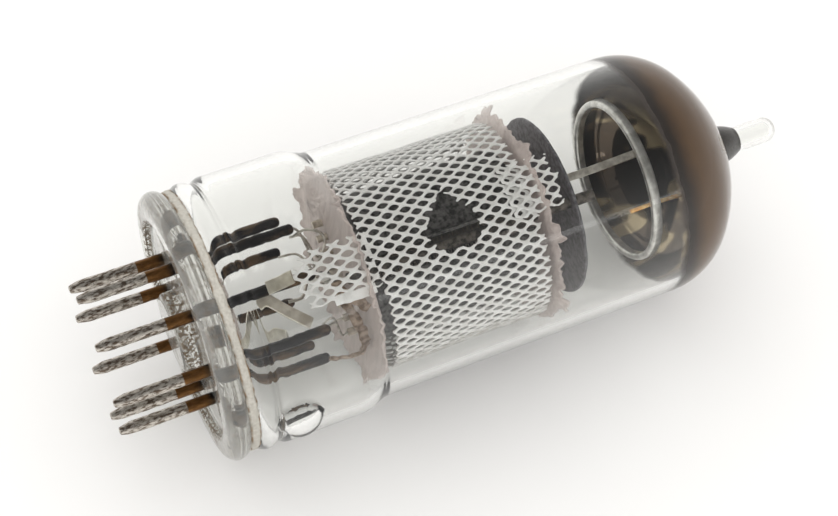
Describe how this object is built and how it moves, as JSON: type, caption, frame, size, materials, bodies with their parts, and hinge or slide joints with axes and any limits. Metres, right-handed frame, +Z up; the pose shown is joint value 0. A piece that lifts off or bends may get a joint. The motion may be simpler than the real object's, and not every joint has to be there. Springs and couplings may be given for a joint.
{
  "type": "vacuum tube",
  "caption": "All-glass miniature radio valve with a ring of stiff base pins, a locating pip, a mesh-screened electrode cage and a getter-coated dome.",
  "frame": {"origin": "centre of the glass base's seating face, on the valve's axis", "axes": "+X along the valve's axis from the pins to the exhaust tip, -Y through the locating pip, +Z up as the valve lies on its side"},
  "size_m": [0.0604, 0.0227, 0.0218],
  "materials": {
    "clear_glass": "clear, thin, smooth",
    "base_glass": "clear pressed glass with brown dirt in the recesses",
    "frit": "granular cream-grey solder glass with brown edges",
    "black_deposit": "black, shiny deposit",
    "getter_film": "taupe-brown mirror film, darker at its edge",
    "worn_pin": "pitted, tarnished silver, copper-brown near the glass",
    "mica": "translucent pinkish mica, rough edges",
    "slate_plate": "matt slate grey, finely mottled",
    "mesh_steel": "silver-grey expanded metal, a little brown",
    "anode_sheet": "mottled dark grey carbonised sheet",
    "nickel": "dull nickel",
    "grid_wire": "fine drawn wire",
    "heater_coat": "white alumina coating",
    "ring_metal": "grey nickel-plated channel",
    "bright_strip": "bright flat nickel strip",
    "gold_wire": "gold-orange wire",
    "brown_lead": "crumpled brown oxidised ribbon"
  },
  "bodies": {
    "root": {"bulb_glass": "clear_glass", "exhaust_stub": "clear_glass", "stub_deposit": "black_deposit", "getter_film": "getter_film", "glass_base": "base_glass", "sealing_frit": "frit", "pin_1": "worn_pin", "pin_2": "worn_pin", "pin_3": "worn_pin", "pin_4": "worn_pin", "pin_5": "worn_pin", "pin_6": "worn_pin", "pin_7": "worn_pin", "pin_8": "worn_pin", "bottom_mica": "mica", "top_mica": "mica", "shield_disc": "slate_plate", "mesh_screen": "mesh_steel", "mesh_tongue": "mesh_steel", "anode_upper": "anode_sheet", "anode_lower": "anode_sheet", "anode_post_a": "nickel", "anode_post_b": "nickel", "suppressor_grid": "grid_wire", "screen_grid": "grid_wire", "control_grid": "grid_wire", "cathode_sleeve": "nickel", "heater": "heater_coat", "getter_ring": "ring_metal", "getter_strip": "bright_strip", "getter_tail": "gold_wire", "link_strap_a": "bright_strip", "link_strap_b": "bright_strip", "tongue_strap": "bright_strip", "cathode_lead": "brown_lead", "anode_lead": "nickel", "heater_lead_a": "nickel", "heater_lead_b": "nickel", "control_grid_lead": "nickel", "screen_grid_lead": "nickel", "suppressor_lead": "nickel"}
  },
  "joints": []
}
